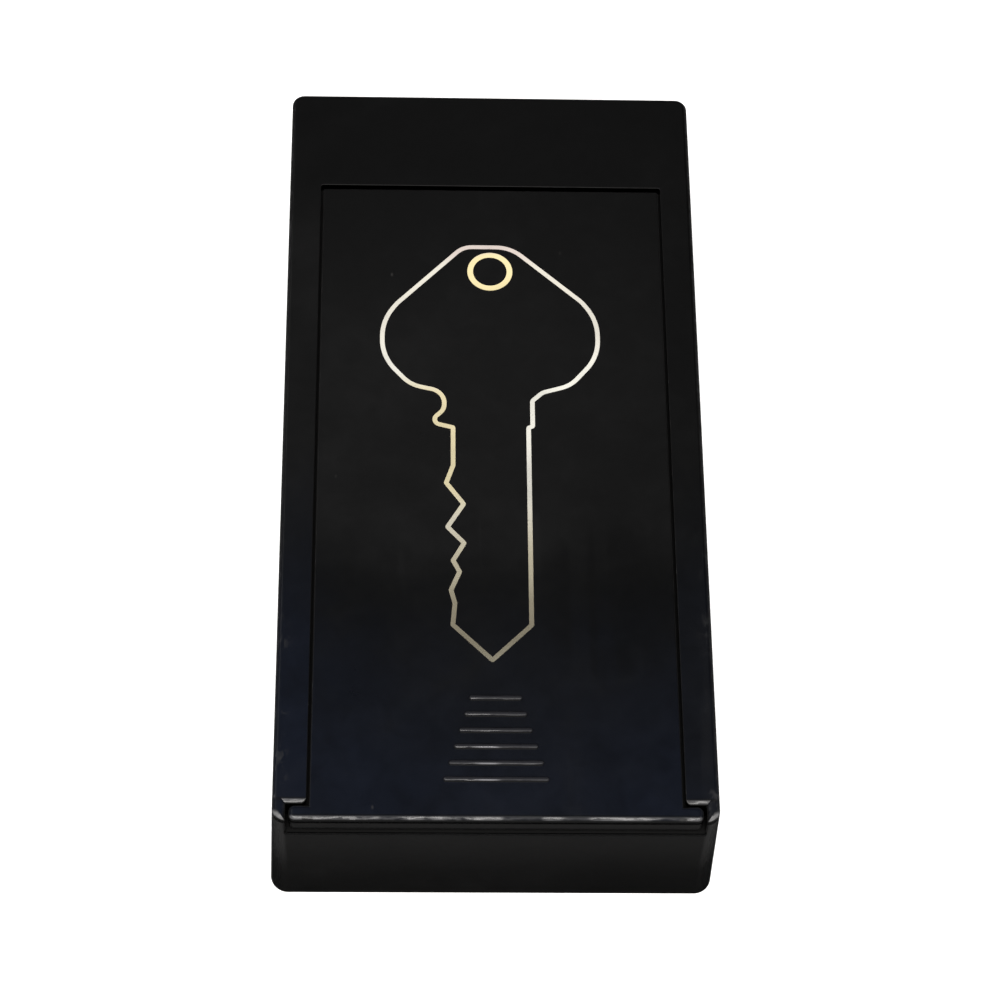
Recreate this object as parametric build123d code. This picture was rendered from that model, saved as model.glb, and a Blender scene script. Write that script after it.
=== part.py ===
from build123d import *
import math
import os

# Magnetic key box: a black moulded case with a lid that slides off its front,
# and two ferrite magnets in pockets underneath.
# Millimetres. X is across the box, +Y points to the rear, +Z up. The box lies
# on its magnets, and the origin is the centre of that footprint.

# ---------------------------------------------------------------- outer case
TOP_W = 50.1  # width of the top face
TOP_L = 99.85  # length of the top face
CASE_H = 20.5  # rim to top face
SIDE_SPREAD = 0.74  # how far each side wall has spread outward at the rim (draft)
END_SPREAD = 0.5  # the same for the front and rear walls
CORNER_R = 1.5  # corners in plan, at the top face
RIM_CORNER_R = 2.05  # and at the rim
RIM_Z = 0.2  # the rim stays this far above the magnets' faces
TOP_Z = RIM_Z + CASE_H
FRONT_Y = -TOP_L / 2  # front edge of the top face
TOP_EDGE_R = 0.6  # rounding of the outer top edge and the front notches
RIM_EDGE_R = 0.35  # rounding of the rim

# ------------------------------------------------------- lid opening and rails
OPEN_HALF_FRONT = 21.23  # half-width of the opening at the front
OPEN_HALF_REAR = 21.21  # half-width at the header (the side core's draft)
OPEN_BACK = 85.9  # from the front edge to the header
OPEN_CORNER_R = 0.32
OPEN_EDGE_R = 0.09
LIP_T = 1.2  # rail lip above the groove
GROOVE_BOTTOM = 3.0  # ledge that the lid's tongues run on, below the top face
GROOVE_HALF = 22.85  # half-width of the groove
SLOT_BACK = 87.5  # end of the slot under the header

# ------------------------------------------------------------- front notches
NOTCH_BACK = 2.08  # the rails end this far behind the front edge
NOTCH_HALF = 23.56  # half-width between the corner posts
WALL_TOP = 3.3  # top of the low front wall, below the top face
FRONT_WALL_EDGE_R = 0.04

# ------------------------------------------------------------ key compartment
WELL_HALF = 20.2
WELL_FRONT = -47.4
WELL_BACK = 35.85
WELL_R = 2.0
FLOOR_Z = 8.6  # compartment floor
FLOOR_T = 1.8

# ------------------------------------------------------- coring from underneath
CORE_HALF = 23.3  # inside of the outer side walls
CORE_FRONT = -47.9
CORE_BACK = 47.7
CORE_R = 1.2
SIDE_CORE_Z = 15.2  # top of the narrow cores beside the compartment
WELL_WALL = 1.7
HEADER_CORE_Y = 37.9
HEADER_CORE_STEP_Y = 39.2
HEADER_SKIN = 2.0
RIB_T = 1.2
RIBS_ABREAST = 5
RIB_FOOT_Z = 1.2  # the ribs stop short of the rim
FRAME_T = 1.4  # ribs that frame each magnet

# ------------------------------------------------------- magnets and backing
MAGNET_L = 40.0
MAGNET_W = 20.0
MAGNET_T = 5.0
MAGNET_CHAMFER = 0.35
MAGNET_FRONT_Y = -27.0
MAGNET_REAR_Y = 16.5
POCKET_GAP = 0.15
PLATE_L = 39.4
PLATE_W = 19.4
PLATE_T = 1.2
TAPE_L = 38.0
TAPE_W = 18.0
TAPE_T = FLOOR_Z - FLOOR_T - MAGNET_T - PLATE_T

# ------------------------------------------------------------------ lid
LID_HALF_FRONT = 20.91
LID_HALF_REAR = 20.89
LID_BACK = 85.3
LID_CORNER_R = 0.28
LID_T = 2.83  # full depth at the front lip and along the tongues
LID_PANEL_T = 2.0
TONGUE_TOP = 1.35
TONGUE_HALF = 22.55
TONGUE_BACK = 87.1
WING_HALF = 23.2
WING_DEPTH = 1.88
WING_CORNER_R = 0.66  # the wings' upright corners
LID_FRONT_EDGE_R = 0.6  # top edge of the lip and the wings
LID_EDGE_R = 0.18
BORDER = 2.2  # full-depth border round the lid's underside
LID_RIB_T = 0.9
LID_RIB_DROP = 0.65  # underside ribs, below the panel

# grip ridges: distance behind the front edge, half-length
RIDGES = [
    (4.92, 5.96),
    (6.93, 5.36),
    (8.95, 4.76),
    (10.97, 4.16),
    (12.99, 3.58),
    (15.01, 3.02),
]
RIDGE_W = 0.56
RIDGE_H = 0.38
RIDGE_EDGE_R = 0.24

# detent: a low bar on each ledge and a shallow flute in each tongue
DETENT_Y = 6.2
DETENT_X = 21.55
DETENT_LEN = 1.5
DETENT_R = 1.0
DETENT_RISE = 0.11

# ------------------------------------------------------------- printed key
PRINT_X = -0.3  # the print sits a little left of the lid's centre line
PRINT_Y = 0.25
PRINT_T = 0.04
LINE_W = 0.55
RING_X = 0.08
RING_Y = 72.85
RING_OD = 5.55
RING_LINE = 0.7

# ----------------------------------------------------------------- liner
LINER_T = 2.0
LINER_GAP = 0.45


def at(y):
    """Row-frame Y of a distance behind the front edge of the top face."""
    return FRONT_Y + y


def block(x0, x1, y0, y1, z0, z1):
    return Pos((x0 + x1) / 2, (y0 + y1) / 2, (z0 + z1) / 2) * Box(
        x1 - x0, y1 - y0, z1 - z0
    )


def slab(outline, z0, z1):
    """A plan outline drawn at Z = 0, made solid between two heights."""
    return Pos(0, 0, z0) * extrude(outline, amount=z1 - z0)


def rounded(x0, x1, y0, y1, r):
    return Pos((x0 + x1) / 2, (y0 + y1) / 2) * RectangleRounded(x1 - x0, y1 - y0, r)


def trapezoid(half_front, half_rear, y0, y1):
    return make_face(
        Polyline(
            (-half_front, y0),
            (half_front, y0),
            (half_rear, y1),
            (-half_rear, y1),
            close=True,
        )
    )


def near(value, target, tol=0.02):
    return abs(value - target) < tol


# =============================================================== case body
def edges_of(shape, test):
    return [e for e in shape.edges() if test(e)]


def at_height(e, z):
    box = e.bounding_box()
    return near(box.min.Z, z, 0.001) and near(box.max.Z, z, 0.001)


case = loft(
    [
        Pos(0, 0, RIM_Z)
        * RectangleRounded(
            TOP_W + 2 * SIDE_SPREAD, TOP_L + 2 * END_SPREAD, RIM_CORNER_R
        ),
        Pos(0, 0, TOP_Z) * RectangleRounded(TOP_W, TOP_L, CORNER_R),
    ],
    ruled=True,
)
case = fillet(edges_of(case, lambda e: at_height(e, RIM_Z)), RIM_EDGE_R)

# the opening between the rails, a little narrower at the header
lean = (OPEN_HALF_FRONT - OPEN_HALF_REAR) / (OPEN_BACK - NOTCH_BACK)
opening = slab(
    trapezoid(
        OPEN_HALF_FRONT + 4 * lean,
        OPEN_HALF_REAR,
        at(NOTCH_BACK) - 4,
        at(OPEN_BACK),
    ),
    TOP_Z - GROOVE_BOTTOM,
    TOP_Z + 1,
)
opening = fillet(
    [
        e
        for e in opening.edges().filter_by(Axis.Z)
        if e.center().Y > at(OPEN_BACK) - 0.1
    ],
    OPEN_CORNER_R,
)
# the notches at the front corners, and the low front wall between them
notch = block(
    -NOTCH_HALF,
    NOTCH_HALF,
    FRONT_Y - 3,
    at(NOTCH_BACK),
    TOP_Z - WALL_TOP,
    TOP_Z + 1,
)
case = case - opening - notch

# rounding: the front wall's top, the opening, then the notches and outer edge
case = fillet(
    edges_of(
        case,
        lambda e: near(e.center().Z, TOP_Z - WALL_TOP, 0.01)
        and abs(e.center().X) < 0.1
        and e.center().Y < FRONT_Y + 0.1,
    ),
    FRONT_WALL_EDGE_R,
)
case = fillet(
    edges_of(
        case,
        lambda e: at_height(e, TOP_Z)
        and abs(e.center().X) < OPEN_HALF_FRONT + 0.1
        and at(NOTCH_BACK) + 0.1 < e.center().Y < at(OPEN_BACK) + 0.1,
    ),
    OPEN_EDGE_R,
)
case = fillet(
    edges_of(
        case,
        lambda e: at_height(e, TOP_Z)
        and (
            abs(e.center().X) > OPEN_HALF_FRONT + 0.4
            or e.center().Y > at(OPEN_BACK) + 1
        ),
    ),
    TOP_EDGE_R,
)

# grooves under the rail lips, and the slot under the header
groove = block(
    -GROOVE_HALF,
    GROOVE_HALF,
    at(NOTCH_BACK) - 0.5,
    at(SLOT_BACK),
    TOP_Z - GROOVE_BOTTOM,
    TOP_Z - LIP_T,
)
case = case - groove

# the key compartment
well = slab(
    rounded(-WELL_HALF, WELL_HALF, WELL_FRONT, WELL_BACK, WELL_R), FLOOR_Z, TOP_Z
)
case = case - well

# coring from underneath: the magnets' space, narrow cores beside the
# compartment, and the hollow header
web_z = FLOOR_Z - FLOOR_T
core = slab(
    rounded(-CORE_HALF, CORE_HALF, CORE_FRONT, CORE_BACK, CORE_R), RIM_Z - 1, web_z
)
core_beside = block(
    WELL_HALF + WELL_WALL, CORE_HALF, WELL_FRONT, WELL_BACK, web_z - 1, SIDE_CORE_Z
)
core_header = slab(
    rounded(-CORE_HALF, CORE_HALF, HEADER_CORE_Y, CORE_BACK, CORE_R),
    web_z - 1,
    SIDE_CORE_Z,
)
core_header_top = slab(
    rounded(-CORE_HALF, CORE_HALF, HEADER_CORE_STEP_Y, CORE_BACK, CORE_R),
    SIDE_CORE_Z - 1,
    TOP_Z - HEADER_SKIN,
)
hollow = (
    core
    + core_beside
    + mirror(core_beside, about=Plane.YZ)
    + core_header
    + core_header_top
)
case = case - hollow

# ribs: frames round the magnets, and a lattice that stiffens the rest
frame_x = MAGNET_L / 2 + POCKET_GAP
frame_y = MAGNET_W / 2 + POCKET_GAP
ribs = None


def add_rib(x0, x1, y0, y1, z0=RIB_FOOT_Z, z1=web_z + 0.5):
    global ribs
    piece = block(x0, x1, y0, y1, z0, z1)
    ribs = piece if ribs is None else ribs + piece


bands = []  # the strips in front of, between and behind the magnets
front_band = (CORE_FRONT - 0.5, MAGNET_FRONT_Y - frame_y - FRAME_T)
middle_band = (
    MAGNET_FRONT_Y + frame_y + FRAME_T,
    MAGNET_REAR_Y - frame_y - FRAME_T,
)
rear_band = (MAGNET_REAR_Y + frame_y + FRAME_T, HEADER_CORE_Y)
bands = [front_band, middle_band, rear_band]
for cy in (MAGNET_FRONT_Y, MAGNET_REAR_Y):
    add_rib(-CORE_HALF - 0.5, CORE_HALF + 0.5, cy - frame_y - FRAME_T, cy - frame_y)
    add_rib(-CORE_HALF - 0.5, CORE_HALF + 0.5, cy + frame_y, cy + frame_y + FRAME_T)
    for side in (-1, 1):
        x0, x1 = sorted((side * frame_x, side * (frame_x + FRAME_T)))
        add_rib(x0, x1, cy - frame_y - 0.5, cy + frame_y + 0.5)
# cross rib halfway between the magnets, and the compartment's rear wall
mid_y = sum(middle_band) / 2
add_rib(-CORE_HALF - 0.5, CORE_HALF + 0.5, mid_y - RIB_T / 2, mid_y + RIB_T / 2)
add_rib(-CORE_HALF - 0.5, CORE_HALF + 0.5, HEADER_CORE_Y - 1.5, HEADER_CORE_Y)
# lengthwise ribs, side by side
rib_pitch = (2 * CORE_HALF - RIBS_ABREAST * RIB_T) / (RIBS_ABREAST + 1) + RIB_T
rib_xs = [(k - (RIBS_ABREAST - 1) / 2) * rib_pitch for k in range(RIBS_ABREAST)]
for x in rib_xs:
    for y0, y1 in bands:
        add_rib(x - RIB_T / 2, x + RIB_T / 2, y0, y1)
    add_rib(
        x - RIB_T / 2,
        x + RIB_T / 2,
        HEADER_CORE_Y - 0.5,
        CORE_BACK + 0.5,
        RIB_FOOT_Z,
        TOP_Z - HEADER_SKIN + 0.5,
    )
# short ribs that tie the narrow side cores together
for y in (-37.85, -16.15, mid_y, 5.65, 27.35, -27.0, 16.5):
    for side in (-1, 1):
        x0, x1 = sorted((side * (frame_x + 0.4), side * (CORE_HALF + 0.5)))
        add_rib(x0, x1, y - 0.5, y + 0.5, RIB_FOOT_Z, SIDE_CORE_Z + 0.3)
case = case + ribs

# detent bars on the ledges
for side in (-1, 1):
    bar = (
        Pos(side * DETENT_X, at(DETENT_Y), TOP_Z - GROOVE_BOTTOM + DETENT_RISE - DETENT_R)
        * Rot(0, 90, 0)
        * Cylinder(DETENT_R, DETENT_LEN)
    )
    keep = block(
        side * DETENT_X - 1,
        side * DETENT_X + 1,
        at(DETENT_Y) - 2,
        at(DETENT_Y) + 2,
        TOP_Z - GROOVE_BOTTOM - 0.3,
        TOP_Z,
    )
    case = case + (bar & keep)

# ejector-pin witness marks on the inside of the header skin and the web
marks = []
for k in range(RIBS_ABREAST + 1):
    x = (k - RIBS_ABREAST / 2) * rib_pitch
    marks.append(
        Pos(x, (HEADER_CORE_STEP_Y + CORE_BACK) / 2, TOP_Z - HEADER_SKIN)
        * Cylinder(1.5, 0.2)
    )
    for y in (
        (middle_band[0] + mid_y) / 2,
        (middle_band[1] + mid_y) / 2,
        (front_band[0] + front_band[1]) / 2,
    ):
        marks.append(Pos(x, y, web_z) * Cylinder(1.5, 0.2))
for mark in marks:
    case = case - mark

# =============================================================== sliding lid
lid_lean = (LID_HALF_FRONT - LID_HALF_REAR) / LID_BACK
panel = slab(
    trapezoid(LID_HALF_FRONT, LID_HALF_REAR, at(0), at(LID_BACK)),
    TOP_Z - LID_T,
    TOP_Z,
)
panel = fillet(
    [
        e
        for e in panel.edges().filter_by(Axis.Z)
        if e.center().Y > at(LID_BACK) - 0.1
    ],
    LID_CORNER_R,
)
wings = block(-WING_HALF, WING_HALF, at(0), at(WING_DEPTH), TOP_Z - LID_T, TOP_Z)
wings = fillet(wings.edges().filter_by(Axis.Z), WING_CORNER_R)
lid = panel + wings
# the lip and the wings first, then the long side edges and the rear edge
lid = fillet(
    edges_of(
        lid,
        lambda e: at_height(e, TOP_Z) and e.center().Y < at(WING_DEPTH) + 0.05,
    ),
    LID_FRONT_EDGE_R,
)
lid = fillet(
    edges_of(
        lid,
        lambda e: at_height(e, TOP_Z)
        and abs(e.center().X) < LID_HALF_FRONT + 0.05
        and e.center().Y > at(WING_DEPTH) + 0.5,
    ),
    LID_EDGE_R,
)

tongues = slab(
    rounded(-TONGUE_HALF, TONGUE_HALF, at(WING_DEPTH) - 0.6, at(TONGUE_BACK), 0.8),
    TOP_Z - LID_T,
    TOP_Z - TONGUE_TOP,
)
lid = lid + tongues

# hollow underside, with stiffening ribs
inner_x = LID_HALF_REAR - BORDER
under = slab(
    rounded(-inner_x, inner_x, at(3.2), at(LID_BACK - BORDER), 1.5),
    TOP_Z - LID_T - 1,
    TOP_Z - LID_PANEL_T,
)
lid = lid - under
for k in range(1, 5):
    y = 3.2 + k * (LID_BACK - BORDER - 3.2) / 5
    lid = lid + block(
        -inner_x - 0.3,
        inner_x + 0.3,
        at(y) - LID_RIB_T / 2,
        at(y) + LID_RIB_T / 2,
        TOP_Z - LID_PANEL_T - LID_RIB_DROP,
        TOP_Z - LID_PANEL_T + 0.3,
    )
for x in (-inner_x / 3, inner_x / 3):
    lid = lid + block(
        x - LID_RIB_T / 2,
        x + LID_RIB_T / 2,
        at(3.0),
        at(LID_BACK - BORDER + 0.3),
        TOP_Z - LID_PANEL_T - LID_RIB_DROP,
        TOP_Z - LID_PANEL_T + 0.3,
    )

# flutes for the detent
for side in (-1, 1):
    lid = lid - (
        Pos(side * DETENT_X, at(DETENT_Y), TOP_Z - LID_T + 0.16 - 1.3)
        * Rot(0, 90, 0)
        * Cylinder(1.3, DETENT_LEN + 0.6)
    )

# grip ridges
for y, half in RIDGES:
    ridge = block(
        -half, half, at(y) - RIDGE_W / 2, at(y) + RIDGE_W / 2, TOP_Z - 0.2, TOP_Z + RIDGE_H
    )
    ridge = fillet(ridge.edges().filter_by(Axis.Z), 0.265)
    ridge = fillet(
        [e for e in ridge.edges() if at_height(e, TOP_Z + RIDGE_H)], RIDGE_EDGE_R
    )
    lid = lid + ridge

# ========================================================== printed key outline
# Centre line of the drawn key, X across from its own axis, Y behind the
# front edge of the lid: a plain house key, bow to the rear, cuts on the left.
KEY_POINTS = [
    # (x, y, corner radius)
    (-3.2, 76.45, 2.6),
    (2.6, 76.45, 4.6),
    (11.3, 68.5, 4.0),
    (13.13, 65.9, 7.0),
    (13.13, 60.6, 6.5),
    (9.7, 56.5, 4.0),
    (6.3, 55.5, 1.6),
    (5.05, 54.3, 0.5),
    (5.05, 50.75, 0.2),
    (4.55, 50.55, 0.2),
    (4.55, 24.1, 0.1),
    (0.0, 19.6, 0.1),
    (-4.54, 24.1, 0.1),
    (-4.3, 26.9, 0.1),
    (-4.75, 28.6, 0.1),
    (-3.75, 31.0, 0.1),
    (-4.5, 32.5, 0.1),
    (-3.2, 34.8, 0.1),
    (-5.15, 36.95, 0.1),
    (-3.25, 40.05, 0.1),
    (-5.3, 42.9, 0.1),
    (-4.48, 45.3, 0.6),
    (-4.48, 50.52, 0.15),
    (-7.35, 51.26, 0.71),
    (-5.53, 53.04, 1.6),
    (-5.53, 55.53, 2.0),
    (-9.6, 56.45, 4.0),
    (-13.05, 60.4, 6.5),
    (-13.05, 65.6, 7.0),
    (-11.3, 68.08, 4.0),
]
ARC_STEP = math.radians(6)  # long arcs of the drawing are drawn in short lengths


def drawn_outline(points, radii):
    """Closed face of straights and tangent arcs through rounded corners."""
    n = len(points)
    corners = []
    for i, r in enumerate(radii):
        p = Vector(*points[i])
        a = (p - Vector(*points[i - 1])).normalized()
        b = (Vector(*points[(i + 1) % n]) - p).normalized()
        turn = math.atan2(a.X * b.Y - a.Y * b.X, a.dot(b))
        if r == 0 or abs(turn) < 0.001:
            corners.append([p])
            continue
        tangent = r * math.tan(abs(turn) / 2)
        side = math.copysign(1, turn)
        start = p - a * tangent
        centre = start + Vector(-a.Y, a.X) * (side * r)
        count = max(1, math.ceil(abs(turn) / ARC_STEP)) if r > 0.8 else 1
        spoke = start - centre
        arc = []
        for k in range(2 * count + 1):
            t = turn * k / (2 * count)
            arc.append(
                centre
                + Vector(
                    spoke.X * math.cos(t) - spoke.Y * math.sin(t),
                    spoke.X * math.sin(t) + spoke.Y * math.cos(t),
                )
            )
        corners.append(arc)
    edges = []
    for i, arc in enumerate(corners):
        for k in range(0, len(arc) - 1, 2):
            edges.append(ThreePointArc(arc[k], arc[k + 1], arc[k + 2]))
        following = corners[(i + 1) % n]
        if (following[0] - arc[-1]).length > 0.002:
            edges.append(Line(arc[-1], following[0]))
    return make_face(Wire(edges))


def drawn_circle(x, y, r):
    """A full circle in the same short arcs."""
    count = 48
    at_angle = [
        Vector(x + r * math.cos(math.pi * k / count), y + r * math.sin(math.pi * k / count))
        for k in range(2 * count)
    ]
    return make_face(
        Wire(
            [
                ThreePointArc(
                    at_angle[k], at_angle[k + 1], at_angle[(k + 2) % (2 * count)]
                )
                for k in range(0, 2 * count, 2)
            ]
        )
    )


def parallel(points, d):
    """The key's outline moved outward by d: straights stay straight, and each
    rounded corner keeps its centre."""
    moved, radii = [], []
    n = len(points)
    for i, (x, y, r) in enumerate(points):
        x0, y0, _ = points[i - 1]
        x1, y1, _ = points[(i + 1) % n]
        a = Vector(x - x0, y - y0).normalized()
        b = Vector(x1 - x, y1 - y).normalized()
        na, nb = Vector(-a.Y, a.X), Vector(-b.Y, b.X)
        turn = a.X * b.Y - a.Y * b.X
        step = (na + nb) * (d / (1 + na.dot(nb)))
        moved.append((PRINT_X + x + step.X, at(y + PRINT_Y) + step.Y))
        # the points run clockwise, so a right turn is an outward corner
        grown = r + d if turn < 0 else r - d
        radii.append(grown if grown > 0.04 else 0)
    return drawn_outline(moved, radii)


outer_line = parallel(KEY_POINTS, LINE_W / 2)
inner_line = parallel(KEY_POINTS, -LINE_W / 2)
ring_x, ring_y = PRINT_X + RING_X, at(RING_Y + PRINT_Y)
ring = drawn_circle(ring_x, ring_y, RING_OD / 2) - drawn_circle(
    ring_x, ring_y, RING_OD / 2 - RING_LINE
)
foil = slab(outer_line - inner_line, TOP_Z, TOP_Z + PRINT_T) + slab(
    ring, TOP_Z, TOP_Z + PRINT_T
)


# ===================================================== magnets, plates, tape
def magnet(cy):
    body = block(
        -MAGNET_L / 2,
        MAGNET_L / 2,
        cy - MAGNET_W / 2,
        cy + MAGNET_W / 2,
        0,
        MAGNET_T,
    )
    body = chamfer(body.edges().filter_by(Axis.Z), MAGNET_CHAMFER * 1.6)
    return chamfer(
        [e for e in body.edges() if at_height(e, 0) or at_height(e, MAGNET_T)],
        MAGNET_CHAMFER,
    )


def plate(cy):
    return slab(
        rounded(
            -PLATE_L / 2, PLATE_L / 2, cy - PLATE_W / 2, cy + PLATE_W / 2, 0.8
        ),
        MAGNET_T,
        MAGNET_T + PLATE_T,
    )


def tape(cy):
    return slab(
        rounded(-TAPE_L / 2, TAPE_L / 2, cy - TAPE_W / 2, cy + TAPE_W / 2, 0.6),
        MAGNET_T + PLATE_T,
        MAGNET_T + PLATE_T + TAPE_T,
    )


# ================================================================= liner
liner = slab(
    rounded(
        -WELL_HALF + LINER_GAP,
        WELL_HALF - LINER_GAP,
        WELL_FRONT + LINER_GAP,
        WELL_BACK - LINER_GAP,
        WELL_R - 0.3,
    ),
    FLOOR_Z,
    FLOOR_Z + LINER_T,
)

# ================================================================= write out
PIECES = {
    "case_body": case,
    "sliding_lid": lid,
    "key_outline_foil": foil,
    "foam_liner": liner,
    "magnet_front": magnet(MAGNET_FRONT_Y),
    "magnet_rear": magnet(MAGNET_REAR_Y),
    "backing_plate_front": plate(MAGNET_FRONT_Y),
    "backing_plate_rear": plate(MAGNET_REAR_Y),
    "mounting_tape_front": tape(MAGNET_FRONT_Y),
    "mounting_tape_rear": tape(MAGNET_REAR_Y),
}

os.makedirs("parts", exist_ok=True)
for name, shape in PIECES.items():
    solids = shape.solids()
    whole = solids[0] if len(solids) == 1 else Compound(children=list(solids))
    export_step(whole, f"parts/{name}.step")
    print(name, len(solids), round(sum(s.volume for s in solids), 1))
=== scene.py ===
import math
import random

import bmesh
import bpy
from mathutils import Matrix, Vector, noise


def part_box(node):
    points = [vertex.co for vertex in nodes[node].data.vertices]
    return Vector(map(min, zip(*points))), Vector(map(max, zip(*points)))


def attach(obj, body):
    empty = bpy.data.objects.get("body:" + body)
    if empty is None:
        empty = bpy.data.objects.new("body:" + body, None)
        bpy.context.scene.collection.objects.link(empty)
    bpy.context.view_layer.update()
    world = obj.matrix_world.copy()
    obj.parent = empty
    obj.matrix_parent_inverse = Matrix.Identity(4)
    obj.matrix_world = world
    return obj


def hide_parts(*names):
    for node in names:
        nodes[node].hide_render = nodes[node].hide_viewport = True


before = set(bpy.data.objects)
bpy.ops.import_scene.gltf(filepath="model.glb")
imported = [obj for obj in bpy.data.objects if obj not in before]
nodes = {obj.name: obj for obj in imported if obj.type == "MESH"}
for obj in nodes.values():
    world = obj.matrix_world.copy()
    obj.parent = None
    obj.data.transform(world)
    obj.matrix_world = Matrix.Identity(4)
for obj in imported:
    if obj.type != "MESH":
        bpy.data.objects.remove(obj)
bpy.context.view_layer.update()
MM = 0.001

# --------------------------------------------------------------------- camera
# The picture was taken from above and in front, turned a little and tilted.
ELEV = math.radians(60.61)
YAW = math.radians(-3.89)
ROLL = math.radians(3.86)
TARGET = Vector((0.74, -9.035, 20.7)) * MM
DIST = 357.76 * MM
LENS = 36.0 * 3034.3 / 1000.0

back = Vector(
    (math.sin(YAW) * math.cos(ELEV), -math.cos(YAW) * math.cos(ELEV), math.sin(ELEV))
)
right = Vector((math.cos(YAW), math.sin(YAW), 0.0))
up = back.cross(right)
x_axis = right * math.cos(ROLL) + up * math.sin(ROLL)
y_axis = up * math.cos(ROLL) - right * math.sin(ROLL)
cam_data = bpy.data.cameras.new("camera")
cam_data.lens = LENS
cam_data.sensor_width = 36.0
cam_data.clip_start = 0.01
cam_data.clip_end = 20.0
camera = bpy.data.objects.new("camera", cam_data)
bpy.context.scene.collection.objects.link(camera)
rotation = Matrix((x_axis, y_axis, back)).transposed().to_4x4()
camera.matrix_world = Matrix.Translation(TARGET + back * DIST) @ rotation
bpy.context.scene.camera = camera


# --------------------------------------------------------------------- lights
# Directions are degrees from straight up towards the front, then to the right.
KEY_DIR = (36, -3)
KEY_ANGLE = 44
KEY_ENERGY = 6.2
KEY_COLOUR = (1.0, 0.975, 0.945)
SIDE_LIGHTS = (
    # name, direction, angular size, strength
    ("left_softbox", (14.8, -38.5), 30, 1.0),
    ("right_softbox", (14.2, 42.8), 30, 1.0),
)
RAMP = (
    (-1.0, 0.005),
    (-0.90, 0.01),
    (-0.83, 0.20),
    (-0.78, 0.25),
    (-0.45, 0.24),
    (-0.15, 0.30),
    (0.12, 0.30),
    (0.38, 0.17),
    (0.56, 0.04),
    (0.80, 0.01),
)
FRONT_DARK = 0.10  # the room is dark in front of the box, near the horizon
SPOTS = (
    # direction, radius at full strength, radius where it ends, colour
    ((-6, -6), 8, 14, (0.45, 0.57, 0.80)),
    ((-24.5, 1.6), 3.5, 6.0, (0.17, 0.17, 0.17)),
    ((-26.8, -30), 6, 10, (2.4, 2.4, 2.4)),
    ((-33.6, 1.6), 3.8, 5.7, (1.22, 1.21, 1.20)),
)


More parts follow.
